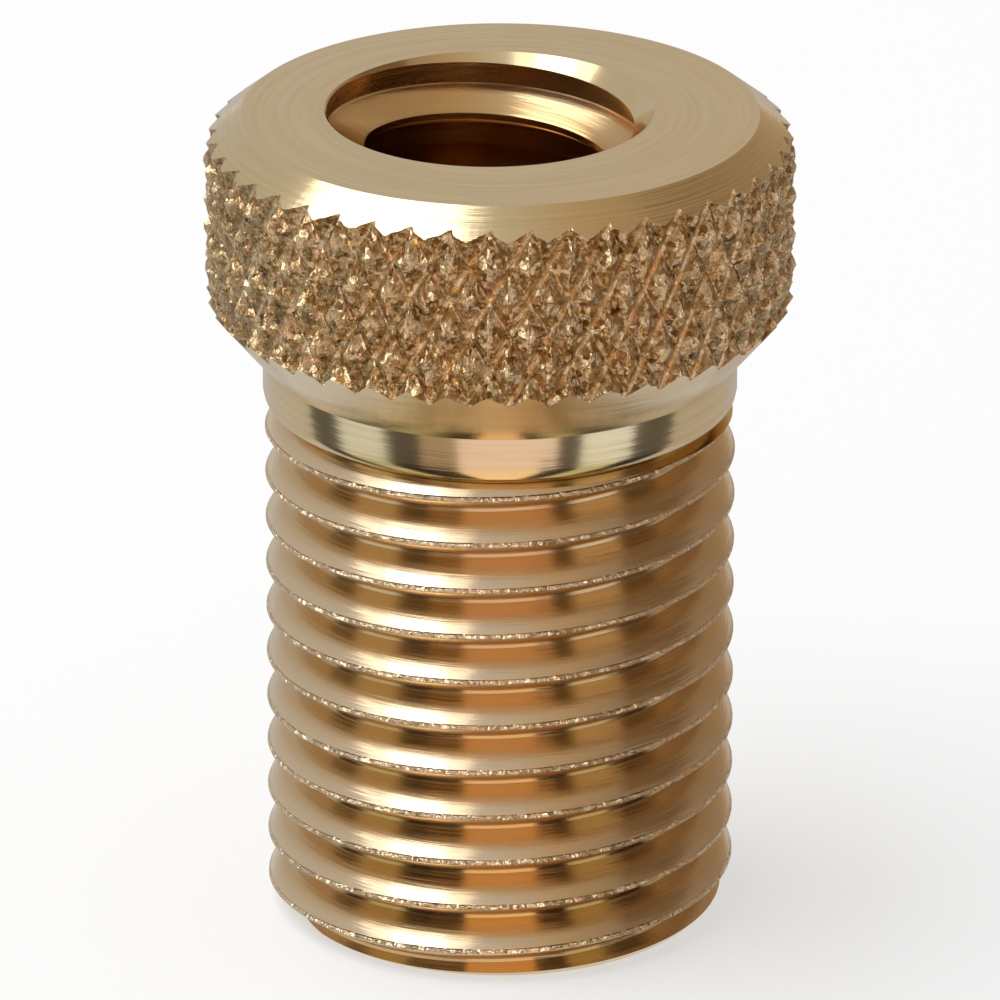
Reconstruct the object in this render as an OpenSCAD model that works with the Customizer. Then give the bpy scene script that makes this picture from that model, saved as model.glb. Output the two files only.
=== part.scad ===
// Tyre-valve thread adapter, turned from one brass bar.
// The head takes a slim 5V2 valve stem (5.2 mm, 24 threads per inch) in its
// inside thread. The long stem carries the wide 8V1 valve thread (7.65 mm,
// 32 threads per inch) outside, so that a pump or a cap made for 8V1 fits.
// It stands on the end of its stem: z = 0 is that end, +Z points to the head.
// Lengths are in millimetres and angles in degrees.

/* [Overall] */
// Length from the end of the stem to the face of the head
overall_length = 13.7; // [12.5:0.1:18]

/* [Head] */
// Diameter over the points of the knurl
head_diameter = 9.6; // [9.2:0.1:12]
// Height of the head from the foot of its knurl to its face
head_height = 3.0; // [2.6:0.1:4]
// Width of the chamfer round the face, cut at 45 degrees
face_chamfer = 0.52; // [0.3:0.02:0.7]
// Height of the cone under the head
underside_height = 1.13; // [0.8:0.01:1.6]

/* [Knurl] */
// Number of teeth round the head
knurl_teeth = 45; // [36:1:54]
// Depth from the points of the diamonds to the grooves
knurl_depth = 0.28; // [0.15:0.01:0.34]
// Angle of the knurl grooves to the axis
knurl_angle = 30; // [25:1:40]

/* [Neck] */
// Diameter of the plain neck under the head
neck_diameter = 7.7; // [7.7:0.02:8.2]
// Length of the plain neck
neck_length = 0.6; // [0.4:0.05:1.2]

/* [Outside thread] */
// Diameter over the crests, 8V1
outside_diameter = 7.65; // [7.5:0.01:7.66]
// Pitch, 32 threads per inch
outside_pitch = 0.794; // [0.75:0.002:0.85]
// Depth of the groove
outside_depth = 0.41; // [0.3:0.01:0.45]
// Width of the chamfer on the end of the stem
end_chamfer = 0.38; // [0.2:0.02:0.6]

/* [Inside thread] */
// Diameter at the bottom of the groove, 5V2
inside_diameter = 5.2; // [5:0.02:5.3]
// Pitch, 24 threads per inch
inside_pitch = 1.058; // [1:0.002:1.1]
// Depth of the groove
inside_depth = 0.57; // [0.5:0.01:0.6]
// Length of full thread below the face of the head
inside_length = 8.0; // [5:0.5:9]
// Diameter of the countersink at the mouth
mouth_diameter = 5.5; // [5.4:0.05:6]

/* [Passage] */
// Diameter of the plain drilled hole below the inside thread
passage_diameter = 4.2; // [4.2:0.05:4.6]
// Width of the chamfer at the outlet of the passage
outlet_chamfer = 0.2; // [0.1:0.05:0.4]

/* [Hidden] */

// Steps per turn of each faceted form
OUTSIDE_STEPS = 40;
INSIDE_STEPS = 32;
// Angle of a thread's flank to the plane across the axis
FLANK_ANGLE = 30;
// Turns over which a groove runs out
RUN_OUT = 0.6;
// Turns by which the outside groove passes under the edge of the neck
RUN_UNDER = 0.7;
// Share of the pitch that is flat on the crest of the outside thread
CREST_SHARE = 1 / 8;
// Share of the pitch that is flat at the bottom of the inside groove
GROOVE_SHARE = 1 / 8;
// How far a cutting form passes the surface that it cuts
PASS = 0.1;
// Height of the middle of the lowest crest on the +X side
CREST_HEIGHT = 0.74;
// Depth of the middle of the first groove below the face on the +X side
GROOVE_DROP = 0.665;
// Turns of outside thread that start below the end of the stem
TURNS_BELOW = 2;
// Turns of the tap that stand clear above the face
TURNS_ABOVE = 2;

head_foot = overall_length - head_height;
neck_top = head_foot - underside_height;
neck_foot = neck_top - neck_length;
head_radius = head_diameter / 2;
neck_radius = neck_diameter / 2;

// Point of a knurled drum in row k and column j: grooves and points alternate.
function knurl_point(j, k, z, columns) =
    let (radius = (j + k) % 2 == 0 ? head_radius - knurl_depth : head_radius,
         turn = 360 * j / columns)
    [radius * cos(turn), radius * sin(turn), z];

// One cell of the knurled surface, split along its groove.
function knurl_cell(j, k, columns) =
    let (next = (j + 1) % columns,
         a = k * columns + j, b = k * columns + next,
         c = (k + 1) * columns + next, d = (k + 1) * columns + j)
    (j + k) % 2 == 0 ? [[a, c, b], [a, d, c]] : [[a, d, b], [b, d, c]];

// Drum with two crossing sets of helical grooves, from foot to top.
module knurled_drum(foot, top) {
    columns = 2 * knurl_teeth;
    groove_spacing = 360 / knurl_teeth * PI / 180 * head_radius;
    row_height = groove_spacing / tan(knurl_angle) / 2;
    rows = ceil((top - foot) / row_height);
    points = [for (k = [0 : rows]) for (j = [0 : columns - 1])
        knurl_point(j, k, foot + k * row_height, columns)];
    foot_face = [for (j = [0 : columns - 1]) j];
    top_face = [for (j = [columns - 1 : -1 : 0]) rows * columns + j];
    sides = [for (k = [0 : rows - 1]) for (j = [0 : columns - 1])
        each knurl_cell(j, k, columns)];
    polyhedron(points = points, faces = concat([foot_face, top_face], sides));
}

// Share of a form's full depth at a turn: it grows in from one turn and has
// died out at another.
function form_share(turn, from_turn, to_turn) =
    max(0, min(1, (turn - from_turn) / RUN_OUT, (to_turn - turn) / RUN_OUT));

// Faceted right-hand screw, solid to its axis. Its surface lies at base_radius,
// and one helical form, a groove or a ridge, takes it to form_radius between
// two turns. foot is the height, on the +X side, where its surface starts.
module screw(base_radius, form_radius, pitch, base_flat, steps, foot, turns,
             from_turn, to_turn) {
    flank = abs(form_radius - base_radius) * tan(FLANK_ANGLE);
    form_flat = pitch - 2 * flank - base_flat;
    heights = [0, base_flat, base_flat + flank, base_flat + flank + form_flat];
    in_form = [0, 0, 1, 1];
    last = floor(turns * steps);

    // Four points of the profile at each step, then one more turn of its edge.
    profile_points = [for (i = [0 : last]) for (k = [0 : 3])
        let (turn = i / steps,
             share = in_form[k] * form_share(turn, from_turn, to_turn),
             radius = base_radius + share * (form_radius - base_radius))
        [radius * cos(360 * turn), radius * sin(360 * turn), foot + pitch * turn + heights[k]]];
    edge_points = [for (i = [last + 1 : last + steps])
        let (turn = i / steps)
        [base_radius * cos(360 * turn), base_radius * sin(360 * turn), foot + pitch * turn]];
    axis_points = [[0, 0, foot - pitch], [0, 0, foot + pitch * (last / steps + 2)]];
    points = concat(profile_points, edge_points, axis_points);
    below = len(points) - 2;
    above = len(points) - 1;

    function at(i, k) = i <= last ? 4 * i + k : 3 * (last + 1) + i;
    // The profile's fifth point is the first point of the next turn.
    function on_profile(i, k) = k == 4 ? at(i + steps, 0) : at(i, k);

    sides = [for (i = [0 : last - 1]) for (k = [0 : 3])
        each [[on_profile(i, k), on_profile(i, k + 1), on_profile(i + 1, k + 1)],
              [on_profile(i, k), on_profile(i + 1, k + 1), on_profile(i + 1, k)]]];
    foot_fan = [for (i = [0 : steps - 1]) [below, at(i, 0), at(i + 1, 0)]];
    foot_step = [for (k = [0 : 3]) [below, on_profile(0, k + 1), on_profile(0, k)]];
    top_fan = [for (i = [last : last + steps - 1]) [above, at(i + 1, 0), at(i, 0)]];
    top_step = [for (k = [0 : 3]) [above, on_profile(last, k), on_profile(last, k + 1)]];
    polyhedron(points = points, faces = concat(sides, foot_fan, foot_step, top_fan, top_step));
}

// Head and neck turned: chamfered drum, cone under it and plain neck.
module turned_head() {
    blank_radius = head_radius + PASS;
    face_radius = head_radius - face_chamfer;
    underside_slope = underside_height / (head_radius - neck_radius);
    rotate_extrude($fn = 96)
        polygon([
            [0, neck_foot],
            [neck_radius, neck_foot],
            [neck_radius, neck_top],
            [blank_radius, neck_top + (blank_radius - neck_radius) * underside_slope],
            [blank_radius, overall_length - face_chamfer - PASS],
            [face_radius, overall_length],
            [0, overall_length],
        ]);
}

// Head with its knurl.
module head() {
    intersection() {
        turned_head();
        knurled_drum(neck_foot - PASS, overall_length + PASS);
    }
}

// Stem with the 8V1 thread, chamfered at its end.
module stem() {
    crest_radius = outside_diameter / 2;
    crest_flat = outside_pitch * CREST_SHARE;
    thread_foot = CREST_HEIGHT - crest_flat / 2 - TURNS_BELOW * outside_pitch;
    // The last turn of groove dies out under the edge of the neck.
    last_groove = (neck_foot - thread_foot) / outside_pitch - 1 + RUN_UNDER;
    blank_radius = neck_radius + PASS;
    end_radius = crest_radius - end_chamfer;
    intersection() {
        screw(crest_radius, crest_radius - outside_depth, outside_pitch, crest_flat,
            OUTSIDE_STEPS, thread_foot, last_groove + 1 + PASS,
            from_turn = -1, to_turn = last_groove);
        rotate_extrude($fn = 96)
            polygon([
                [0, 0],
                [end_radius, 0],
                [blank_radius, blank_radius - end_radius],
                [blank_radius, overall_length],
                [0, overall_length],
            ]);
    }
}

// Form that cuts the 5V2 thread: a faceted tap that enters from the face.
module inside_tap() {
    groove_radius = inside_diameter / 2;
    flank = inside_depth * tan(FLANK_ANGLE);
    groove_flat = inside_pitch * GROOVE_SHARE;
    land_flat = inside_pitch - 2 * flank - groove_flat;
    first_groove = overall_length - GROOVE_DROP;
    // Whole turns of groove down to the end of full thread
    turns_down = ceil(inside_length / inside_pitch);
    tap_foot = first_groove - groove_flat / 2 - flank - land_flat - turns_down * inside_pitch;
    turns = turns_down + TURNS_ABOVE;
    screw(groove_radius - inside_depth, groove_radius, inside_pitch, land_flat,
        INSIDE_STEPS, tap_foot, turns, from_turn = 0, to_turn = turns + 1);
}

// Everything that is drilled and countersunk round the axis.
module bore() {
    thread_foot = overall_length - inside_length;
    passage_radius = passage_diameter / 2;
    mouth_radius = mouth_diameter / 2;
    outlet_radius = passage_radius + outlet_chamfer;
    translate([0, 0, -PASS])
        cylinder(h = thread_foot + PASS, r = passage_radius, $fn = 96);
    translate([0, 0, -PASS])
        cylinder(h = outlet_chamfer + PASS, r1 = outlet_radius + PASS, r2 = passage_radius, $fn = 96);
    // Countersink at 45 degrees, a cone with its point on the axis
    translate([0, 0, overall_length - mouth_radius])
        cylinder(h = mouth_radius + PASS, r1 = 0, r2 = mouth_radius + PASS, $fn = 96);
}

// The whole adapter, one solid of brass.
module adapter_body() {
    color("darkgoldenrod")
        difference() {
            union() {
                head();
                stem();
            }
            inside_tap();
            bore();
        }
}

adapter_body();
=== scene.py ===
"""Brass tyre-valve thread adapter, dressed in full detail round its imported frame.

The adapter is turned from one bar: a knurled head with a tapped hole, a plain
neck and a long threaded stem. The forms are worked out in millimetres, and the
finished mesh is in metres, with its origin at the foot of the stem and +Z
towards the head.
"""

import logging
import math
from collections.abc import Sequence
from dataclasses import dataclass, field
from enum import Enum
from typing import Any

import bmesh
import bpy
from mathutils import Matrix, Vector

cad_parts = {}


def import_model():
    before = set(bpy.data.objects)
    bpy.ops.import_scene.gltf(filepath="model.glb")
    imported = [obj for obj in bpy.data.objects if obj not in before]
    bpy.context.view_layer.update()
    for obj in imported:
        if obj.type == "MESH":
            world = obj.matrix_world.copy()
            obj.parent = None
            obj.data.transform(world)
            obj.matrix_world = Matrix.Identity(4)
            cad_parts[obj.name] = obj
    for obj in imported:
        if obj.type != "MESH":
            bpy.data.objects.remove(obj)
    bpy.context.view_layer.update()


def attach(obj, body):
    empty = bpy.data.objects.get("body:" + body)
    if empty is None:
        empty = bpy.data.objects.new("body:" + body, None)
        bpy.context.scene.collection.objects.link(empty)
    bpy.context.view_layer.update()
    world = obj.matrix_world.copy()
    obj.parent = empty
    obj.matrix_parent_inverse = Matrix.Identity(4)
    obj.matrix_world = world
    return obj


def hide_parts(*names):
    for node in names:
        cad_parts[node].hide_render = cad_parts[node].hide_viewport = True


LOG = logging.getLogger("thread_adapter")

MILLIMETRE = 0.001
WELD_GAP = 0.0004  # millimetres between points that are one point
BEYOND = 0.3  # millimetres by which a cutting form passes the part
CLEAR = 0.1  # millimetres by which a blank stands outside its finished form
NUDGE = 0.001  # keeps a whole number from being read as the one below

Colour = tuple[float, float, float]


@dataclass(frozen=True)
class Corner:
    """Point of a thread's section: share of the pitch, share of the depth."""

    along: float
    depth: float


# --- Node trees ---------------------------------------------------------------


class Value:
    """A number's socket in a node tree, with arithmetic that adds Math nodes."""

    def __init__(self, graph: "Graph", socket: Any) -> None:
        """Hold the socket and the graph that it belongs to."""
        self.graph = graph
        self.socket = socket

    def _maths(self, operation: str, *inputs: Any) -> "Value":
        """Add one Math node.

        Args:
            operation: The node's operation.
            inputs: Values, or plain numbers, of its sockets in order.

        Returns:
            The node's result.
        """
        return self.graph.add(
            "ShaderNodeMath", {"operation": operation}, dict(enumerate(inputs))
        )

    def __add__(self, other: Any) -> "Value":
        """Return self + other."""
        return self._maths("ADD", self, other)

    def __radd__(self, other: Any) -> "Value":
        """Return other + self."""
        return self._maths("ADD", other, self)

    def __sub__(self, other: Any) -> "Value":
        """Return self - other."""
        return self._maths("SUBTRACT", self, other)

    def __rsub__(self, other: Any) -> "Value":
        """Return other - self."""
        return self._maths("SUBTRACT", other, self)

    def __mul__(self, other: Any) -> "Value":
        """Return self * other."""
        return self._maths("MULTIPLY", self, other)

    def __rmul__(self, other: Any) -> "Value":
        """Return other * self."""
        return self._maths("MULTIPLY", other, self)

    def __truediv__(self, other: Any) -> "Value":
        """Return self / other."""
        return self._maths("DIVIDE", self, other)

    def __rtruediv__(self, other: Any) -> "Value":
        """Return other / self."""
        return self._maths("DIVIDE", other, self)

    def __lt__(self, other: Any) -> "Value":
        """Return 1 where self is less than other, and 0 elsewhere."""
        return self._maths("LESS_THAN", self, other)

    def __gt__(self, other: Any) -> "Value":
        """Return 1 where self is greater than other, and 0 elsewhere."""
        return self._maths("GREATER_THAN", self, other)

    def floor(self) -> "Value":
        """Return the whole number below."""
        return self._maths("FLOOR", self)

    def fraction(self) -> "Value":
        """Return what is left above the whole number below."""
        return self._maths("FRACT", self)

    def sine(self) -> "Value":
        """Return the sine of an angle in radians."""
        return self._maths("SINE", self)

    def cosine(self) -> "Value":
        """Return the cosine of an angle in radians."""
        return self._maths("COSINE", self)

    def least(self, other: Any) -> "Value":
        """Return the lesser of self and other."""
        return self._maths("MINIMUM", self, other)

    def most(self, other: Any) -> "Value":
        """Return the greater of self and other."""
        return self._maths("MAXIMUM", self, other)

    def within(self, low: Any, high: Any) -> "Value":
        """Return self, held between low and high."""
        return self.most(low).least(high)

    def step(self, low: float, high: float) -> "Value":
        """Return a smooth step from 0 at low to 1 at high."""
        return self.graph.add(
            "ShaderNodeMapRange",
            {"interpolation_type": "SMOOTHSTEP", "clamp": True},
            {"Value": self, "From Min": low, "From Max": high},
        )


class Graph:
    """A node tree, filled in by code."""

    def __init__(self, tree: bpy.types.NodeTree) -> None:
        """Hold an empty node tree."""
        self.tree = tree

    def node(self, kind: str, settings: dict[str, Any], sockets: dict[Any, Any]) -> Any:
        """Add a node.

        Args:
            kind: The node's type.
            settings: The node's own settings, which are made first. "curve"
                holds the corners of a curve.
            sockets: Values or links of its input sockets, by name or number.

        Returns:
            The new node.
        """
        made = self.tree.nodes.new(kind)
        for name, setting in settings.items():
            if name == "curve":
                self._set_curve(made.mapping, setting)
            else:
                setattr(made, name, setting)
        for name, value in sockets.items():
            socket = made.inputs[name]
            if isinstance(value, Value):
                value = value.socket
            if isinstance(value, bpy.types.NodeSocket):
                self.tree.links.new(value, socket)
            else:
                socket.default_value = value
        return made

    def add(
        self, kind: str, settings: dict[str, Any], sockets: dict[Any, Any], result: Any = 0
    ) -> Value:
        """Add a node and return one of its results.

        Args:
            kind: The node's type.
            settings: The node's own settings.
            sockets: Values or links of its input sockets.
            result: Name or number of the output socket.

        Returns:
            The output socket, ready for arithmetic.
        """
        return Value(self, self.node(kind, settings, sockets).outputs[result])

    @staticmethod
    def _set_curve(
        mapping: bpy.types.CurveMapping, corners: Sequence[tuple[float, float]]
    ) -> None:
        """Draw a curve of straight lines.

        Args:
            mapping: The curve node's mapping.
            corners: Place and value of each corner.
        """
        curve = mapping.curves[0]
        while len(curve.points) < len(corners):
            curve.points.new(1.0, 1.0)
        for point, corner in zip(curve.points, corners):
            point.location = corner
            point.handle_type = "VECTOR"
        mapping.update()


class ShapeGraph(Graph):
    """A Geometry Nodes tree that ends in Realize Instances and Set Material."""

    def __init__(self, name: str, sizes: dict[str, float]) -> None:
        """Make the tree with one named input for each size.

        Args:
            name: The tree's name.
            sizes: Names and values of its sizes.
        """
        super().__init__(bpy.data.node_groups.new(name, "GeometryNodeTree"))
        self.sizes = sizes
        face = self.tree.interface
        for size in sizes:
            face.new_socket(size, in_out="INPUT", socket_type="NodeSocketFloat")
        face.new_socket("Material", in_out="INPUT", socket_type="NodeSocketMaterial")
        face.new_socket("Geometry", in_out="OUTPUT", socket_type="NodeSocketGeometry")
        self.inputs = self.tree.nodes.new("NodeGroupInput")

    def size(self, name: str) -> Value:
        """Return a named input."""
        return Value(self, self.inputs.outputs[name])

    def mesh(self, surface: Any, material: bpy.types.Material) -> bpy.types.Mesh:
        """Finish the tree and turn its result into a plain mesh.

        Args:
            surface: The socket that holds the finished surface.
            material: The material that the surface gets.

        Returns:
            The evaluated mesh.
        """
        real = self.node("GeometryNodeRealizeInstances", {}, {0: surface})
        dressed = self.node(
            "GeometryNodeSetMaterial",
            {},
            {"Geometry": real.outputs[0], "Material": self.inputs.outputs["Material"]},
        )
        self.node("NodeGroupOutput", {}, {0: dressed.outputs[0]})
        carrier = in_scene(self.tree.name, bpy.data.meshes.new(self.tree.name))
        modifier = carrier.modifiers.new("shape", "NODES")
        modifier.node_group = self.tree
        for item in self.tree.interface.items_tree:
            if item.in_out == "INPUT":
                value = material if item.name == "Material" else self.sizes[item.name]
                modifier[item.identifier] = value
        mesh = evaluated_mesh(carrier)
        bpy.data.objects.remove(carrier)
        return mesh


# --- Meshes -------------------------------------------------------------------


def in_scene(name: str, data: Any) -> bpy.types.Object:
    """Put a new object in the scene, at the origin.

    Args:
        name: The object's name.
        data: Its mesh, light or camera.

    Returns:
        The new object.
    """
    item = bpy.data.objects.new(name, data)
    bpy.context.scene.collection.objects.link(item)
    return item


def evaluated_mesh(carrier: bpy.types.Object) -> bpy.types.Mesh:
    """Work out a mesh with its modifiers.

    Args:
        carrier: The object that carries the mesh and the modifiers.

    Returns:
        The finished mesh, by itself.
    """
    depsgraph = bpy.context.evaluated_depsgraph_get()
    mesh = bpy.data.meshes.new_from_object(
        carrier.evaluated_get(depsgraph), preserve_all_data_layers=True, depsgraph=depsgraph
    )
    mesh.name = carrier.name
    return mesh


def point_outwards(mesh: bpy.types.Mesh) -> None:
    """Turn a mesh's faces outwards.

    Args:
        mesh: The closed mesh that is changed.
    """
    work = bmesh.new()
    work.from_mesh(mesh)
    bmesh.ops.recalc_face_normals(work, faces=work.faces)
    if work.calc_volume(signed=True) < 0:
        bmesh.ops.reverse_faces(work, faces=work.faces)
    work.to_mesh(mesh)
    work.free()


class Cut(Enum):
    """What one solid does to another."""

    JOIN = "UNION"
    REMOVE = "DIFFERENCE"
    KEEP_COMMON = "INTERSECT"


def combine(body: bpy.types.Mesh, cut: Cut, tool: bpy.types.Mesh) -> bpy.types.Mesh:
    """Combine two closed meshes into one.

    Args:
        body: The solid that is worked on.
        cut: What the tool does to it.
        tool: The other solid.

    Returns:
        The new solid.
    """
    work, held = in_scene("work", body), in_scene("held", tool)
    modifier = work.modifiers.new("cut", "BOOLEAN")
    modifier.operation = cut.value
    modifier.solver = "MANIFOLD"
    modifier.material_mode = "TRANSFER"
    modifier.object = held
    made = evaluated_mesh(work)
    LOG.debug("%s: %d faces", cut.value, len(made.polygons))
    for item in (work, held):
        bpy.data.objects.remove(item)
    return made


def turned(
    name: str,
    profile: Sequence[tuple[float, float]],
    segments: int,
    material: bpy.types.Material,
) -> bpy.types.Mesh:
    """Turn a solid from a half section.

    Args:
        name: The mesh's name.
        profile: Radius and height of each corner, from foot to top, where the
            first and the last lie on the axis.
        segments: Faces round the axis.
        material: The material that the solid gets.

    Returns:
        A closed mesh in millimetres.
    """
    points: list[tuple[float, float, float]] = []
    rings: list[list[int]] = []
    for radius, height in profile:
        count = segments if radius > 0 else 1
        first = len(points)
        for step in range(count):
            turn = 2 * math.pi * step / segments
            points.append((radius * math.cos(turn), radius * math.sin(turn), height))
        rings.append([first + step % count for step in range(segments + 1)])
    faces = []
    for low, high in zip(rings, rings[1:]):
        for step in range(segments):
            face = [low[step], low[step + 1], high[step + 1], high[step]]
            faces.append([point for k, point in enumerate(face) if point not in face[:k]])
    mesh = bpy.data.meshes.new(name)
    mesh.from_pydata(points, [], faces)
    mesh.materials.append(material)
    point_outwards(mesh)
    return mesh


def lean(mesh: bpy.types.Mesh, top: tuple[float, float], height: float) -> bpy.types.Mesh:
    """Lean a mesh about the middle of the floor.

    Args:
        mesh: The mesh that is changed.
        top: Where its axis passes at the height.
        height: The height at which it passes there.

    Returns:
        The same mesh.
    """
    for vertex in mesh.vertices:
        share = max(0.0, vertex.co.z) / height
        vertex.co.x += top[0] * share
        vertex.co.y += top[1] * share
    return mesh


# --- Forms of the adapter -------------------------------------------------------


def lattice(graph: ShapeGraph, columns: int, rows: int) -> tuple[Any, Value, Value]:
    """Add a flat grid whose points know their column and row.

    Args:
        graph: The tree.
        columns: Number of columns of points.
        rows: Number of rows of points.

    Returns:
        The grid's socket, and each point's column and row.
    """
    grid = graph.node(
        "GeometryNodeMeshGrid",
        {},
        {
            "Size X": float(columns - 1),
            "Size Y": float(rows - 1),
            "Vertices X": columns,
            "Vertices Y": rows,
        },
    )
    place = graph.node(
        "ShaderNodeSeparateXYZ", {}, {0: graph.add("GeometryNodeInputPosition", {}, {})}
    )
    column = Value(graph, place.outputs["X"]) + (columns - 1) / 2
    row = Value(graph, place.outputs["Y"]) + (rows - 1) / 2
    return grid.outputs["Mesh"], column, row


def round_axis(graph: ShapeGraph, turn: Value, radius: Value, height: Value) -> Value:
    """Find the point at a turn, a radius and a height.

    Args:
        graph: The tree.
        turn: Share of a turn.
        radius: Distance from the axis.
        height: Height above the floor.

    Returns:
        The point.
    """
    angle = turn * (2 * math.pi)
    return graph.add(
        "ShaderNodeCombineXYZ",
        {},
        {"X": radius * angle.cosine(), "Y": radius * angle.sine(), "Z": height},
    )


def wrapped(graph: ShapeGraph, surface: Any, turn: Value, radius: Value, height: Value) -> Any:
    """Wrap a grid round the axis and weld it shut.

    Args:
        graph: The tree.
        surface: The grid's socket.
        turn: Each point's share of a turn.
        radius: Each point's distance from the axis.
        height: Each point's height.

    Returns:
        The closed surface's socket.
    """
    point = round_axis(graph, turn, radius, height)
    placed = graph.node("GeometryNodeSetPosition", {}, {"Geometry": surface, "Position": point})
    welded = graph.node(
        "GeometryNodeMergeByDistance", {}, {"Geometry": placed.outputs[0], "Distance": WELD_GAP}
    )
    return welded.outputs[0]


@dataclass
class Screw:
    """Right-hand screw, as a thread or as the tap that cuts one.

    Its section gives the groove from the edge of one crest up to the next, and
    each corner of it is a row of the surface. The crest height is that of one
    crest's edge on the +X side.
    """

    name: str
    crest_radius: float
    depth: float
    pitch: float
    crest_height: float
    low: float
    high: float
    section: tuple[Corner, ...]
    steps: int

    def mesh(self, material: bpy.types.Material) -> bpy.types.Mesh:
        """Make the screw.

        Args:
            material: The material that it gets.

        Returns:
            The closed screw in millimetres.
        """
        below = math.ceil((self.crest_height - self.low) / self.pitch) + 1
        foot = self.crest_height - below * self.pitch
        turns = math.ceil((self.high - foot) / self.pitch)
        corners = len(self.section) - 1
        rows = turns * corners + 1
        graph = ShapeGraph(
            self.name,
            {
                "Crest Radius": self.crest_radius,
                "Depth": self.depth,
                "Pitch": self.pitch,
                "Foot": foot,
                "Low": self.low,
                "High": self.high,
            },
        )
        pitch, crest, depth = graph.size("Pitch"), graph.size("Crest Radius"), graph.size("Depth")
        low, high = graph.size("Low"), graph.size("High")
        # The first and the last row close the ends on the axis.
        surface, column, row = lattice(graph, self.steps + 1, rows + 2)
        turn = column / self.steps
        level = (row - 1.0) / corners + NUDGE
        corner = level.fraction()
        places = [(i / corners, point.along) for i, point in enumerate(self.section)]
        depths = [(i / corners, point.depth) for i, point in enumerate(self.section)]
        along = graph.add("ShaderNodeFloatCurve", {"curve": places}, {"Value": corner})
        cut = graph.add("ShaderNodeFloatCurve", {"curve": depths}, {"Value": corner}) * depth
        rise = graph.size("Foot") + (level.floor() + along + turn) * pitch
        inside = (rise > low) * (rise < high)
        closed = (row > 0.5) * (row < rows + 0.5)
        radius = (crest - depth + (depth - cut) * inside) * closed
        height = rise.within(low, high)
        height = height * closed + low * (row < 0.5) + high * (row > rows + 0.5)
        mesh = graph.mesh(wrapped(graph, surface, turn, radius, height), material)
        point_outwards(mesh)
        return mesh


@dataclass
class Knurl:
    """Diamond knurl, as a drum that two sets of grooves cross."""

    radius: float = 4.8
    teeth: int = 45
    angle: float = math.radians(30)
    groove_depth: float = 0.26
    cross_depth: float = 0.225
    ridge: float = 5 / 16  # its place on the way from one deep groove to the next
    low: float = 10.15
    high: float = 13.62
    steps: int = 8  # half the columns from one groove to the next
    tear: float = 0.07
    tear_scale: float = 6.5
    tear_span: tuple[float, float] = (0.05, 0.4)  # way up a tooth where tearing sets in
    clear_radius: float = 6.0
    end_rows: int = 3  # rows that close each end: the axis, the rim and the inner rim

    def mesh(self, foot: float, top: float, material: bpy.types.Material) -> bpy.types.Mesh:
        """Make the drum.

        Args:
            foot: Height of the lower end, where the drum is wider than the head.
            top: Height of the upper end.
            material: The material that it gets.

        Returns:
            The closed drum in millimetres.
        """
        columns = self.teeth * 2 * self.steps
        spacing = 2 * math.pi * self.radius / self.teeth
        row_height = spacing / math.tan(self.angle) / (2 * self.steps)
        rows = math.ceil((self.high - self.low) / row_height) + 1
        graph = ShapeGraph(
            "knurl",
            {
                "Radius": self.radius,
                "Groove Depth": self.groove_depth,
                "Cross Depth": self.cross_depth,
                "Clear Radius": self.clear_radius,
                "Low": self.low,
                "Row Height": row_height,
                "Foot": foot,
                "Top": top,
                "Tear": self.tear,
            },
        )
        radius, clear = graph.size("Radius"), graph.size("Clear Radius")
        last = rows + 2 * self.end_rows - 1
        surface, column, row = lattice(graph, columns + 1, last + 1)
        surface = self._split(graph, surface, column, row)
        knurl_row = row - self.end_rows
        turn = column / columns
        height = graph.size("Low") + knurl_row.within(0.0, rows - 1.0) * graph.size("Row Height")

        # The two sets of grooves cross at the edge of the chamfer.
        lattice_row = knurl_row - self.steps / 2
        along = self._from_groove((column - lattice_row) / (2 * self.steps), self.ridge)
        across = self._from_groove((column + lattice_row) / (2 * self.steps), 0.5)
        groove, cross = graph.size("Groove Depth"), graph.size("Cross Depth")
        land = (along * groove).least(groove - cross + across * cross)
        spot = round_axis(graph, turn, radius, height)
        torn = graph.add(
            "ShaderNodeTexNoise",
            {"noise_dimensions": "3D"},
            {"Vector": spot, "Scale": self.tear_scale, "Detail": 2.0, "Roughness": 0.7},
        )
        ragged = (torn - 0.5) * graph.size("Tear") * 2.0 * along.step(*self.tear_span)
        cut_radius = (radius - groove + land + ragged).least(radius)

        knurled = (row > self.end_rows - 0.5) * (row < last - self.end_rows + 0.5)
        closed = (row > 0.5) * (row < last - 0.5)
        wide = closed * (1.0 - knurled)
        height = (
            height
            + (graph.size("Foot") - height) * (row < 1.5)
            + (graph.size("Top") - height) * (row > last - 1.5)
        )
        surface = wrapped(graph, surface, turn, cut_radius * knurled + clear * wide, height)
        mesh = graph.mesh(surface, material)
        point_outwards(mesh)
        return mesh

    @staticmethod
    def _from_groove(phase: Value, ridge: float) -> Value:
        """Shape one set of grooves.

        Args:
            phase: Number of grooves passed.
            ridge: Place of the ridge, as a share of the way to the next groove.

        Returns:
            0 in a groove and 1 on a ridge.
        """
        way = phase.fraction()
        return (way / ridge).least((1.0 - way) / (1.0 - ridge))

    @staticmethod
    def _split(graph: ShapeGraph, surface: Any, column: Value, row: Value) -> Any:
        """Split the grid's cells along both sets of grooves.

        Args:
            graph: The tree.
            surface: The grid's socket.
            column: Each point's column.
            row: Each point's row.

        Returns:
            The socket of the split grid.
        """
        odd = ((column + NUDGE).floor() + (row + NUDGE).floor()) * 0.5
        first = graph.node(
            "GeometryNodeTriangulate",
            {"quad_method": "FIXED"},
            {"Mesh": surface, "Selection": odd.fraction() > 0.25},
        )
        second = graph.node(
            "GeometryNodeTriangulate",
            {"quad_method": "FIXED_ALTERNATE"},
            {"Mesh": first.outputs[0]},
        )
        return second.outputs[0]


# --- Finishes -------------------------------------------------------------------


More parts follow.
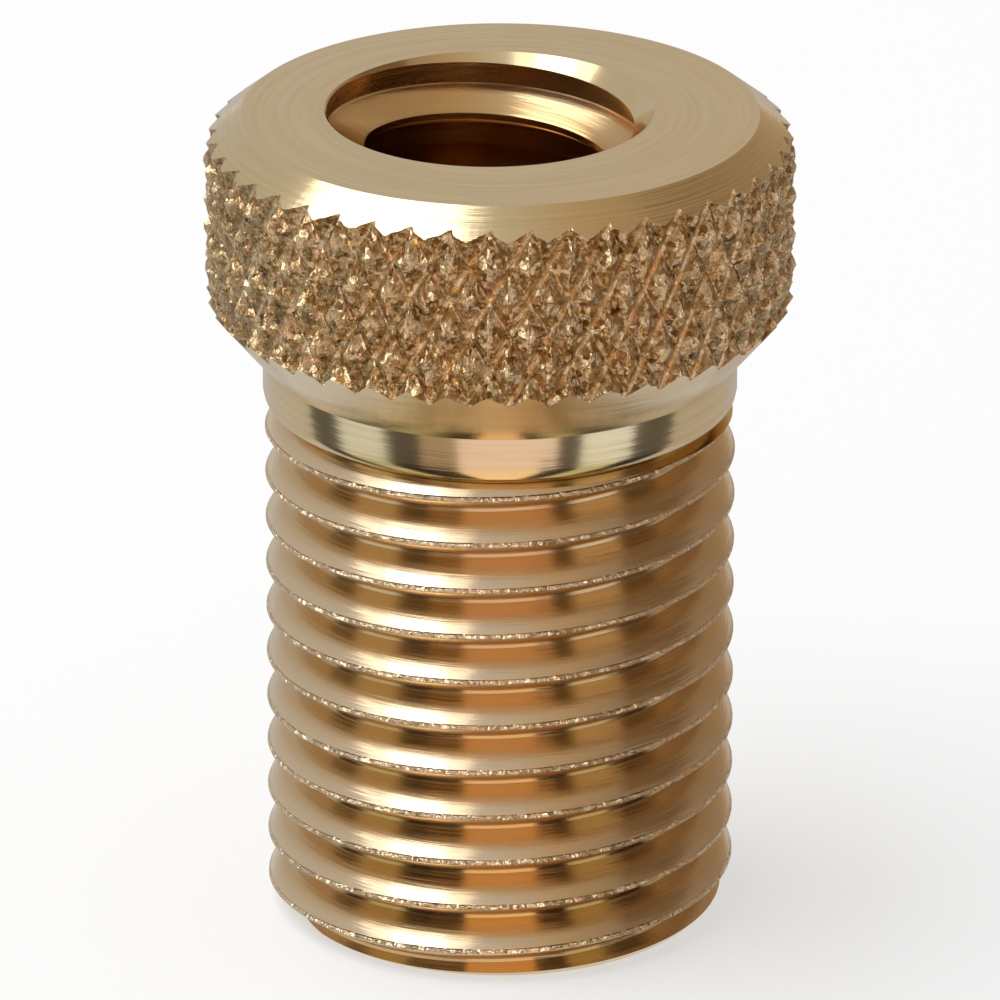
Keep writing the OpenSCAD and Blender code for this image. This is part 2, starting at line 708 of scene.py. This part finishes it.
def empty_material(name: str) -> tuple[bpy.types.Material, Graph]:
    """Make a material.

    Args:
        name: Its name.

    Returns:
        The material and its empty node tree.
    """
    material = bpy.data.materials.new(name)
    material.use_nodes = True
    material.node_tree.nodes.clear()
    return material, Graph(material.node_tree)


class Spot:
    """Where a point lies on the adapter, as values for a finish."""

    def __init__(self, graph: Graph) -> None:
        """Read Object coordinates in millimetres.

        Args:
            graph: The finish's node tree.
        """
        self.graph = graph
        coordinates = graph.node("ShaderNodeTexCoord", {}, {}).outputs["Object"]
        self.point = self._vector("SCALE", coordinates, 1 / MILLIMETRE, "Scale")
        parts = graph.node("ShaderNodeSeparateXYZ", {}, {0: self.point})
        self.x = Value(graph, parts.outputs["X"])
        self.y = Value(graph, parts.outputs["Y"])
        self.height = Value(graph, parts.outputs["Z"])
        self.radius = graph.add(
            "ShaderNodeMath", {"operation": "SQRT"}, {0: self.x * self.x + self.y * self.y}
        )

    def noise(
        self, scale: float, detail: float = 2.0, roughness: float = 0.5, point: Any = None
    ) -> Value:
        """Return noise.

        Args:
            scale: Lumps in each millimetre.
            detail: Finer layers that are added.
            roughness: Weight of the finer layers.
            point: Where to read it, instead of at the point itself.

        Returns:
            The noise, from 0 to 1.
        """
        vector = self.point if point is None else point
        return self.graph.add(
            "ShaderNodeTexNoise",
            {},
            {"Vector": vector, "Scale": scale, "Detail": detail, "Roughness": roughness},
        )

    def crystals(self, scale: float) -> Value:
        """Return the height of small facets that all tilt differently.

        Args:
            scale: Facets in each millimetre.

        Returns:
            The height in millimetres.
        """
        cells = self.graph.node("ShaderNodeTexVoronoi", {}, {"Vector": self.point, "Scale": scale})
        way = self._vector("SUBTRACT", self.point, cells.outputs["Position"])
        tilt = self._vector("SUBTRACT", cells.outputs["Color"], (0.5, 0.5, 0.5))
        return Value(self.graph, self._vector("DOT_PRODUCT", way, tilt, result="Value"))

    def _vector(
        self, operation: str, first: Any, second: Any, socket: Any = 1, result: Any = 0
    ) -> Any:
        """Add one Vector Math node.

        Args:
            operation: The node's operation.
            first: Value or link of its first socket.
            second: Value or link of the other socket.
            socket: Name or number of the other socket.
            result: Name or number of the output socket.

        Returns:
            The output socket.
        """
        return self.graph.node(
            "ShaderNodeVectorMath", {"operation": operation}, {0: first, socket: second}
        ).outputs[result]

    def rings(self, around: float, across: float, rise: float = 1.3) -> Value:
        """Return noise drawn out round the axis, as a tool leaves it.

        Args:
            around: Lumps in each millimetre round the axis.
            across: Lines in each millimetre outwards.
            rise: Lines upwards for each line outwards.

        Returns:
            The noise, from 0 to 1.
        """
        line = (self.radius - self.height * rise) * across
        drawn = self.graph.add(
            "ShaderNodeCombineXYZ", {}, {"X": self.x * around, "Y": self.y * around, "Z": line}
        )
        return self.noise(1.0, detail=3.0, roughness=0.6, point=drawn)

    def mix(self, share: Any, first: Any, second: Any) -> Value:
        """Return a colour between two.

        Args:
            share: Share of the second.
            first: The first colour, as numbers or a value.
            second: The second colour.

        Returns:
            The mixed colour.
        """
        colours = [(*c, 1.0) if isinstance(c, tuple) else c for c in (first, second)]
        return self.graph.add(
            "ShaderNodeMix",
            {"data_type": "RGBA", "clamp_factor": True},
            {0: share, 6: colours[0], 7: colours[1]},
            result=2,
        )


@dataclass(frozen=True)
class Brass:
    """Free-cutting brass, as one machining operation leaves it."""

    name: str
    pale: Colour
    deep: Colour
    roughness: float
    anisotropy: float = 0.0

    def material(self) -> bpy.types.Material:
        """Return the finish as a material."""
        material, graph = empty_material(self.name)
        colour, roughness, relief, depth = self.surface(Spot(graph))
        bump = graph.add(
            "ShaderNodeBump",
            {},
            {"Strength": 1.0, "Distance": depth * MILLIMETRE, "Height": relief},
        )
        shader = graph.node(
            "ShaderNodeBsdfPrincipled",
            {},
            {
                "Base Color": colour,
                "Metallic": 1.0,
                "Roughness": roughness,
                "Anisotropic": self.anisotropy,
                "Anisotropic Rotation": 0.25,
                "Normal": bump,
            },
        )
        graph.node("ShaderNodeOutputMaterial", {}, {"Surface": shader.outputs[0]})
        return material

    def surface(self, spot: Spot) -> tuple[Any, Value, Value, float]:
        """Describe the finish.

        Args:
            spot: Where a point lies.

        Returns:
            Colour, roughness, relief, and the depth in millimetres of a relief
            of 1.
        """
        raise NotImplementedError


@dataclass(frozen=True)
class TurnedBrass(Brass):
    """Smooth brass with the fine marks of the lathe tool."""

    def surface(self, spot: Spot) -> tuple[Any, Value, Value, float]:
        """Describe fine marks round the axis."""
        marks = spot.rings(around=0.25, across=9.0)
        cloud = spot.noise(0.6)
        colour = spot.mix(marks.step(0.3, 0.7) * 0.5 + cloud * 0.3, self.pale, self.deep)
        return colour, marks * 0.1 + self.roughness, marks, 0.006


@dataclass(frozen=True)
class KnurledBrass(Brass):
    """Torn and pressed brass, with painted highlights on its points and along its grooves, and
    painted shade in its pits.
    """

    # Colour of a painted highlight along the bottoms of the grooves.
    groove: Colour = (0.90, 0.69, 0.42)
    # Radii from the painted shade of the pits to the painted highlight of the points.
    shade_to_highlight_radii: tuple[float, float] = (4.64, 4.78)
    # Radii at which the painted highlight of the groove bottoms sets in.
    groove_highlight_radii: tuple[float, float] = (4.59, 4.565)

    def surface(self, spot: Spot) -> tuple[Any, Value, Value, float]:
        """Describe crushed metal, painted paler on its points and along its grooves as highlights,
        and darker in its pits as shade.
        """
        crush = spot.noise(9.0, detail=3.0, roughness=0.65)
        # Painted light: 0 in the pits, which are painted darker as shade, and 1 on the points,
        # which are painted paler as a highlight.
        high = spot.radius.step(*self.shade_to_highlight_radii)
        colour = spot.mix(crush.step(0.35, 0.65) * 0.45 + high * 0.55, self.deep, self.pale)
        # Painted highlight: a pale line along the bottoms of the grooves, broken up by the noise.
        line = spot.radius.step(*self.groove_highlight_radii) * crush.step(0.2, 0.45)
        colour = spot.mix(line, colour, self.groove)
        return colour, crush * 0.24 + self.roughness, crush * 0.03 + spot.crystals(9.5) * 1.05, 1.0


@dataclass(frozen=True)
class ThreadedBrass(Brass):
    """Die-cut brass: clean flanks under a crest with a fine burr, painted darker towards the root
    as shade.
    """

    crest: float = 3.785
    burr: float = 0.015
    # Depth below the crest over which painted shade darkens the colour towards the root.
    flank: float = 0.3

    def surface(self, spot: Spot) -> tuple[Any, Value, Value, float]:
        """Describe drawn flanks, a ragged crest, and painted shade deeper in the groove."""
        marks = spot.rings(around=0.4, across=12.0)
        crest = spot.radius.step(self.crest, self.crest + self.burr)
        ragged = spot.noise(11.0)
        # Painted shade: 0 at the crest and 1 at the root, so the groove is painted darker as if
        # shaded.
        groove = 1.0 - spot.radius.step(self.crest - self.flank, self.crest)
        colour = spot.mix(groove + marks * 0.2, self.pale, self.deep)
        relief = marks * 0.007 + crest * (ragged * 0.06 + spot.crystals(11.0) * 0.9)
        return colour, marks * 0.06 + crest * 0.06 + self.roughness, relief, 1.0


@dataclass(frozen=True)
class TappedBrass(Brass):
    """Tapped brass with drawn flanks, painted darker further down the bore as shade."""

    # Heights over which painted shade darkens the bore, from none to full.
    bore_shade_heights: tuple[float, float] = (13.0, 12.3)

    def surface(self, spot: Spot) -> tuple[Any, Value, Value, float]:
        """Describe drawn flanks, painted darker further down as shade."""
        marks = spot.rings(around=0.3, across=10.0)
        # Painted shade: the colour darkens further down the bore, as if shaded.
        bore_shade = spot.height.step(*self.bore_shade_heights)
        colour = spot.mix(marks * 0.5 + bore_shade, self.pale, self.deep)
        return colour, marks * 0.1 + self.roughness, marks, 0.008


# --- The adapter ------------------------------------------------------------------

# Rounded flank above one crest, narrow bottom and straight flank to the next.
OUTSIDE_SECTION = (
    Corner(0.0, 0.0),
    Corner(0.03, 0.02),
    Corner(0.08, 0.08),
    Corner(0.14, 0.16),
    Corner(0.20, 0.25),
    Corner(0.28, 0.39),
    Corner(0.36, 0.56),
    Corner(0.44, 0.76),
    Corner(0.51, 0.96),
    Corner(0.53, 1.0),
    Corner(0.60, 1.0),
    Corner(0.62, 0.96),
    Corner(0.98, 0.02),
    Corner(1.0, 0.0),
)

# Even flanks between flats, from one crest of the tap to the next.
INSIDE_SECTION = (
    Corner(0.0, 0.0),
    Corner(0.12, 0.0),
    Corner(0.15, 0.06),
    Corner(0.38, 0.94),
    Corner(0.42, 1.0),
    Corner(0.52, 1.0),
    Corner(0.55, 0.94),
    Corner(0.78, 0.06),
    Corner(0.81, 0.0),
    Corner(1.0, 0.0),
)


@dataclass
class Adapter:
    """The one turned piece, with its knurl, threads and bore, in millimetres."""

    length: float = 13.7
    head_radius: float = 4.8
    head_height: float = 3.0
    face_chamfer: float = 0.62
    chamfer_height: float = 0.485
    face_crown: float = 0.015
    underside_height: float = 1.13
    neck_radius: float = 3.85
    neck_length: float = 0.74
    # How far in and how far up each corner of the neck's rounded foot lies.
    neck_edge: tuple[tuple[float, float], ...] = ((0.14, 0), (0.06, 0.03), (0.02, 0.09), (0, 0.18))
    crest_radius: float = 3.825
    outside_depth: float = 0.48
    outside_pitch: float = 0.794
    lowest_crest: float = 0.762
    outside_steps: int = 180
    relief_radius: float = 3.4
    relief_length: float = 0.17
    relief_chamfer: float = 0.04
    stem_overlap: float = 0.9  # length of stem inside the head
    end_chamfer: float = 0.38
    mouth_radius: float = 2.66
    tap_radius: float = 2.63
    inside_depth: float = 0.6
    inside_pitch: float = 1.058
    inside_drop: float = 0.61  # from the face down to a crest of the tap
    inside_length: float = 8.0
    inside_steps: int = 128
    bore_lean: tuple[float, float] = (-0.17, 0.16)  # place of the bore's axis at the face
    passage_radius: float = 2.1
    pilot_radius: float = 1.8  # of the drill's form inside the tap's
    pilot_cone: float = 0.2
    outlet_chamfer: float = 0.2
    sharp_angle: float = math.radians(32)
    segments: int = 240
    knurl: Knurl = field(default_factory=Knurl)

    def build(self) -> bpy.types.Object:
        """Return the finished piece."""
        smooth = TurnedBrass(
            "turned_brass",
            pale=(0.86, 0.70, 0.43),
            deep=(0.76, 0.58, 0.32),
            roughness=0.12,
            anisotropy=0.4,
        ).material()
        # The knurl's pale and deep colours carry a painted highlight on its points and painted
        # shade in its pits, besides a random tone.
        rough = KnurledBrass(
            "knurled_brass", pale=(0.96, 0.75, 0.45), deep=(0.46, 0.29, 0.13), roughness=0.10
        ).material()
        # The thread's deep colour is mostly painted shade in the roots of its grooves.
        thread = ThreadedBrass(
            "threaded_brass",
            pale=(0.88, 0.71, 0.49),
            deep=(0.72, 0.50, 0.26),
            roughness=0.16,
            anisotropy=0.7,
        ).material()
        # The tapped hole's deep colour is mostly painted shade further down the bore.
        tapped = TappedBrass(
            "tapped_brass",
            pale=(0.86, 0.64, 0.36),
            deep=(0.56, 0.31, 0.10),
            roughness=0.14,
            anisotropy=0.3,
        ).material()

        neck_top = self.length - self.head_height - self.underside_height
        neck_foot = neck_top - self.neck_length
        head = self._head(smooth, rough, neck_top, neck_foot)
        body = combine(head, Cut.JOIN, self._stem(smooth, thread, neck_foot))
        for tool in (self._tap(tapped), self._drill(smooth)):
            body = combine(body, Cut.REMOVE, lean(tool, self.bore_lean, self.length))
        return self._finish(body, rough)

    def _head(
        self,
        smooth: bpy.types.Material,
        rough: bpy.types.Material,
        neck_top: float,
        neck_foot: float,
    ) -> bpy.types.Mesh:
        """Make the head and the neck.

        Args:
            smooth: Finish of what is turned.
            rough: Finish of the knurl.
            neck_top: Height of the neck's upper end.
            neck_foot: Height of the neck's lower end.

        Returns:
            The head, solid.
        """
        slope = self.underside_height / (self.head_radius - self.neck_radius)
        face_slope = self.chamfer_height / self.face_chamfer
        rim = self.length - self.face_crown
        wide = self.head_radius + CLEAR
        blank = turned(
            "head",
            [
                (0, neck_foot),
                *((self.neck_radius - inwards, neck_foot + up) for inwards, up in self.neck_edge),
                (self.neck_radius, neck_top),
                (wide, neck_top + (wide - self.neck_radius) * slope),
                (wide, rim - self.chamfer_height - CLEAR * face_slope),
                (self.head_radius - self.face_chamfer, rim),
                (self.mouth_radius, self.length),
                (0, self.length),
            ],
            self.segments,
            smooth,
        )
        drum = self.knurl.mesh(neck_foot - BEYOND, self.length + BEYOND, rough)
        return combine(blank, Cut.KEEP_COMMON, drum)

    def _stem(
        self, smooth: bpy.types.Material, thread: bpy.types.Material, neck_foot: float
    ) -> bpy.types.Mesh:
        """Make the threaded stem, which reaches up into the head.

        Args:
            smooth: Finish of what is turned.
            thread: Finish of the outside thread.
            neck_foot: Height of the neck's lower end.

        Returns:
            The stem, solid.
        """
        top = neck_foot + self.stem_overlap
        screw = Screw(
            "outside_thread",
            crest_radius=self.crest_radius,
            depth=self.outside_depth,
            pitch=self.outside_pitch,
            crest_height=self.lowest_crest,
            low=-BEYOND,
            high=top + CLEAR,
            section=OUTSIDE_SECTION,
            steps=self.outside_steps,
        ).mesh(thread)
        end = self.crest_radius - self.end_chamfer
        wide = self.crest_radius + BEYOND
        relief = neck_foot - self.relief_length
        blank = turned(
            "stem",
            [
                (0, 0),
                (end, 0),
                (wide, wide - end),
                (wide, relief),
                (self.relief_radius + self.relief_chamfer, relief),
                (self.relief_radius, relief + self.relief_chamfer),
                (self.relief_radius, top),
                (0, top),
            ],
            self.segments,
            smooth,
        )
        return combine(blank, Cut.KEEP_COMMON, screw)

    def _tap(self, tapped: bpy.types.Material) -> bpy.types.Mesh:
        """Make the form of the inside thread.

        Args:
            tapped: Its finish.

        Returns:
            The form that is cut away.
        """
        return Screw(
            "inside_thread",
            crest_radius=self.tap_radius,
            depth=self.inside_depth,
            pitch=self.inside_pitch,
            crest_height=self.length - self.inside_drop,
            low=self.length - self.inside_length,
            high=self.length + BEYOND,
            section=INSIDE_SECTION,
            steps=self.inside_steps,
        ).mesh(tapped)

    def _drill(self, smooth: bpy.types.Material) -> bpy.types.Mesh:
        """Make the form of the drilled passage and the countersink.

        Args:
            smooth: Its finish.

        Returns:
            The form that is cut away.
        """
        outlet = self.passage_radius + self.outlet_chamfer
        foot = self.length - self.inside_length
        return turned(
            "bore",
            [
                (0, -BEYOND),
                (outlet + BEYOND, -BEYOND),
                (self.passage_radius, self.outlet_chamfer),
                (self.passage_radius, foot),
                (self.pilot_radius, foot + self.pilot_cone),
                (self.pilot_radius, self.length - self.mouth_radius + self.pilot_radius),
                (self.mouth_radius + BEYOND, self.length + BEYOND),
                (0, self.length + BEYOND),
            ],
            self.segments,
            smooth,
        )

    def _finish(self, body: bpy.types.Mesh, rough: bpy.types.Material) -> bpy.types.Object:
        """Bring the mesh to metres, set its shading and hand it to the frame.

        Args:
            body: The finished form in millimetres.
            rough: Finish whose faces stay flat.

        Returns:
            The piece.
        """
        body.name = "brass_adapter"
        for vertex in body.vertices:
            vertex.co *= MILLIMETRE
        knurled = body.materials.find(rough.name)
        body.set_sharp_from_angle(angle=self.sharp_angle)
        for face in body.polygons:
            face.use_smooth = face.material_index != knurled
        piece = in_scene("brass_adapter", body)
        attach(piece, "root")
        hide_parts("adapter_body")
        return piece


# --- The studio -------------------------------------------------------------------


def direction(azimuth: float, elevation: float) -> Vector:
    """Return a unit vector.

    Args:
        azimuth: Degrees to the right of the front, which is -Y.
        elevation: Degrees above the floor.

    Returns:
        The vector.
    """
    around, up = math.radians(azimuth), math.radians(elevation)
    return Vector(
        (math.sin(around) * math.cos(up), -math.cos(around) * math.cos(up), math.sin(up))
    )


@dataclass
class Studio:
    """Pale floor, light tent, soft lamp and reflector cards, in metres."""

    floor_size: float = 2.4
    floor_pale: Colour = (0.94, 0.94, 0.94)
    floor_white: float = 0.5
    tent_radius: float = 0.5
    tent_columns: int = 72
    tent_rows: int = 24
    world_light: float = 0.55
    lamp_height: float = 0.4
    lamp_left: float = 0.62  # in heights, as its width and depth are
    lamp_width: float = 1.05
    lamp_depth: float = 1.2
    lamp_strength: float = 2.6
    box_height: float = 0.15
    # Panels overhead as the brass mirrors them: corners, right and back in
    # heights, and light.
    box_panels: tuple[tuple[tuple[tuple[float, float], ...], Colour], ...] = (
        (((-0.68, 0.05), (-0.88, 0.20), (-1.60, -0.60), (-1.20, -0.85)), (1.5, 1.5, 1.5)),
        (((-0.34, -0.16), (-0.68, 0.05), (-1.20, -0.85), (-0.68, -1.15)), (3.2, 3.2, 3.3)),
        (((-0.18, -0.24), (-0.34, -0.16), (-0.68, -1.15), (-0.44, -1.20)), (1.5, 1.45, 1.4)),
        (((-0.04, 0.02), (-0.68, 0.48), (-0.88, 0.20), (-0.18, -0.24)), (3.0, 3.0, 3.0)),
        (((0.60, 0.02), (0.95, -0.35), (1.90, 0.10), (1.30, 0.90)), (0.16, 0.10, 0.05)),
    )
    # Light of the tent by how far it hangs to the right, from -1 to 1.
    tent_lights: tuple[tuple[float, Colour], ...] = (
        (-1.0, (0.52, 0.50, 0.47)),
        (-0.15, (0.54, 0.54, 0.54)),
        (0.05, (0.54, 0.50, 0.45)),
        (0.3, (0.48, 0.37, 0.25)),
        (0.7, (0.29, 0.22, 0.16)),
        (1.0, (0.29, 0.23, 0.17)),
    )
    # Edges of each card by the places on the stem that mirror them, its light
    # near the stem and its light further out.
    cards: tuple[tuple[float, float, Colour, Colour], ...] = (
        (-90, -53, (0.62, 0.63, 0.65), (0.54, 0.53, 0.52)),
        (-53, -44, (0.04, 0.04, 0.04), (0.11, 0.11, 0.10)),
        (-44, -42.7, (0.2, 0.2, 0.2), (0.4, 0.4, 0.4)),
        (-42.7, -29.7, (0.56, 0.56, 0.36), (0.72, 0.77, 0.82)),
        (-29.7, -28, (0.1, 0.1, 0.1), (0.3, 0.3, 0.3)),
        (-28, -20, (0.02, 0.02, 0.02), (0.10, 0.09, 0.08)),
        (-20, -10.5, (0.05, 0.04, 0.03), (0.42, 0.33, 0.25)),
        (-10.5, 10.5, (1.08, 0.82, 0.55), (0.90, 0.76, 0.78)),
        (10.5, 14.3, (0.03, 0.03, 0.03), (0.90, 0.76, 0.78)),
        (14.3, 20.3, (0.02, 0.02, 0.02), (0.11, 0.10, 0.09)),
        (20.3, 32.5, (0.60, 0.60, 0.38), (0.85, 0.90, 1.00)),
        (32.5, 34.5, (0.02, 0.02, 0.02), (0.85, 0.90, 1.00)),
        (34.5, 47, (0.02, 0.02, 0.02), (0.12, 0.11, 0.10)),
        (47, 90, (0.56, 0.56, 0.57), (0.50, 0.47, 0.44)),
    )
    stem_radius: float = 0.00385
    near_reach: float = 0.017
    far_reach: float = 0.3
    card_lift: float = 0.00002
    lens: float = 395.0
    sensor: float = 36.0
    clip: tuple[float, float] = (0.01, 10.0)
    # In millimetres, as the adapter is.
    camera_place: tuple[float, float, float] = (0, -165.3, 75.6)
    camera_target: tuple[float, float, float] = (0, 0, 6.94)

    def build(self) -> None:
        """Set up the floor, the lights and the camera."""
        self._world()
        self._floor()
        self._tent()
        self._cards()
        self._lamp()
        self._camera()

    def _world(self) -> None:
        """Light the scene evenly, and show white behind it."""
        world = bpy.data.worlds.new("room")
        bpy.context.scene.world = world
        world.use_nodes = True
        world.node_tree.nodes.clear()
        graph = Graph(world.node_tree)
        light = self.world_light + self._seen(graph) * (1.0 - self.world_light)
        back = graph.node("ShaderNodeBackground", {}, {"Color": (1, 1, 1, 1), "Strength": light})
        graph.node("ShaderNodeOutputWorld", {}, {"Surface": back.outputs[0]})

    @staticmethod
    def _seen(graph: Graph) -> Value:
        """Tell the rays that show a surface from those that light others.

        Args:
            graph: The node tree.

        Returns:
            1 for the camera's rays and for reflections, and 0 for the rest.
        """
        path = graph.node("ShaderNodeLightPath", {}, {})
        seen = Value(graph, path.outputs["Is Camera Ray"])
        for ray in ("Is Glossy Ray", "Is Transmission Ray"):
            seen = seen.most(Value(graph, path.outputs[ray]))
        return seen

    def _floor(self) -> None:
        """Lay a plain pale floor, which keeps part of the shadow."""
        half = self.floor_size / 2
        corners = [(-half, -half, 0), (half, -half, 0), (half, half, 0), (-half, half, 0)]
        mesh = bpy.data.meshes.new("floor")
        mesh.from_pydata(corners, [], [(0, 1, 2, 3)])
        material, graph = empty_material("pale_floor")
        pale = graph.node("ShaderNodeBsdfDiffuse", {}, {"Color": (*self.floor_pale, 1)})
        white = graph.node("ShaderNodeEmission", {}, {"Color": (1, 1, 1, 1), "Strength": 1.0})
        mixed = graph.node(
            "ShaderNodeMixShader",
            {},
            {0: self._seen(graph) * self.floor_white, 1: pale.outputs[0], 2: white.outputs[0]},
        )
        graph.node("ShaderNodeOutputMaterial", {}, {"Surface": mixed.outputs[0]})
        material.cycles.emission_sampling = "NONE"
        mesh.materials.append(material)
        in_scene("floor", mesh)

    @staticmethod
    def _glow(
        name: str, points: Sequence[Any], faces: Sequence[Any], lights: Sequence[Colour]
    ) -> None:
        """Make a panel that only reflections show.

        Args:
            name: Its name.
            points: Its points in metres.
            faces: Numbers of the points round each face.
            lights: The light that each point gives.
        """
        mesh = bpy.data.meshes.new(name)
        mesh.from_pydata(points, [], faces)
        layer = mesh.color_attributes.new("light", "FLOAT_COLOR", "POINT")
        for item, light in zip(layer.data, lights):
            item.color = (*light, 1.0)
        material, graph = empty_material(name)
        colour = graph.add("ShaderNodeAttribute", {"attribute_name": "light"}, {}, "Color")
        glow = graph.node("ShaderNodeEmission", {}, {"Color": colour, "Strength": 1.0})
        graph.node("ShaderNodeOutputMaterial", {}, {"Surface": glow.outputs[0]})
        material.cycles.emission_sampling = "NONE"
        mesh.materials.append(material)
        panel = in_scene(name, mesh)
        for ray in ("camera", "diffuse", "transmission", "volume_scatter", "shadow"):
            setattr(panel, f"visible_{ray}", False)

    def _tent(self) -> None:
        """Hang a half dome of pale cloth."""
        around, up = self.tent_columns, self.tent_rows
        points, lights = [], []
        for row in range(up + 1):
            for column in range(around):
                toward = direction(360 * column / around, 90 * row / up)
                points.append(toward * self.tent_radius)
                lights.append(self._tent_colour(toward))
        faces = []
        for row in range(up):
            for column in range(around):
                low, after = row * around, (column + 1) % around
                high = low + around
                faces.append((low + column, low + after, high + after, high + column))
        self._glow("tent", points, faces, lights)

    def _tent_colour(self, toward: Vector) -> Colour:
        """Work out the light of the tent.

        Args:
            toward: The direction, as a unit vector.

        Returns:
            Its light there.
        """
        for (left, first), (right, second) in zip(self.tent_lights, self.tent_lights[1:]):
            if toward.x <= right:
                share = (toward.x - left) / (right - left)
                return tuple(a + (b - a) * share for a, b in zip(first, second))
        return self.tent_lights[-1][1]

    def _cards(self) -> None:
        """Lay reflector cards on the floor, from the foot of the stem outwards."""
        quads, lights = [], []
        reaches = (self.stem_radius, self.near_reach, self.far_reach)
        for low, high, *steps in self.cards:
            for inner, outer, light in zip(reaches, reaches[1:], steps):
                sides = [
                    direction(angle, 0) * reaches[0] + direction(2 * angle, 0) * (way - reaches[0])
                    for angle, way in ((low, inner), (low, outer), (high, outer), (high, inner))
                ]
                quads.append([(corner.x, corner.y, self.card_lift) for corner in sides])
                lights.append(light)
        self._panels("cards", quads, lights)

    def _panels(self, name: str, quads: Sequence[Any], lights: Sequence[Colour]) -> None:
        """Make panels of four corners that only reflections show.

        Args:
            name: Their name.
            quads: The four corners of each.
            lights: The light of each.
        """
        points = [corner for quad in quads for corner in quad]
        faces = [tuple(range(4 * i, 4 * i + 4)) for i in range(len(quads))]
        self._glow(name, points, faces, [light for light in lights for _ in range(4)])

    def _lamp(self) -> None:
        """Hang a soft box over the left shoulder."""
        high = self.box_height
        quads = []
        for corners, _ in self.box_panels:
            quads.append([(right * high, back * high, high) for right, back in corners])
        self._panels("soft_box_front", quads, [light for _, light in self.box_panels])
        lamp = bpy.data.lights.new("soft_box", "AREA")
        lamp.shape = "RECTANGLE"
        lamp.size = self.lamp_width * self.lamp_height
        lamp.size_y = self.lamp_depth * self.lamp_height
        lamp.energy = self.lamp_strength * math.pi * lamp.size * lamp.size_y
        hung = in_scene("soft_box", lamp)
        hung.location = (-self.lamp_left * self.lamp_height, 0, self.lamp_height)
        hung.visible_glossy = False

    def _camera(self) -> None:
        """Place the camera."""
        lens = bpy.data.cameras.new("camera")
        lens.lens, lens.sensor_width = self.lens, self.sensor
        lens.sensor_fit = "HORIZONTAL"
        lens.clip_start, lens.clip_end = self.clip
        camera = in_scene("camera", lens)
        place = Vector(self.camera_place) * MILLIMETRE
        target = Vector(self.camera_target) * MILLIMETRE
        camera.location = place
        camera.rotation_euler = (target - place).to_track_quat("-Z", "Y").to_euler()
        bpy.context.scene.camera = camera


def main() -> None:
    """Build the adapter and its studio."""
    logging.basicConfig(level=logging.INFO, format="%(name)s: %(message)s")
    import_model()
    bpy.context.scene.view_settings.view_transform = "Standard"
    Studio().build()
    piece = Adapter().build()
    LOG.info("%s: %d faces", piece.name, len(piece.data.polygons))


if __name__ == "__main__":
    main()
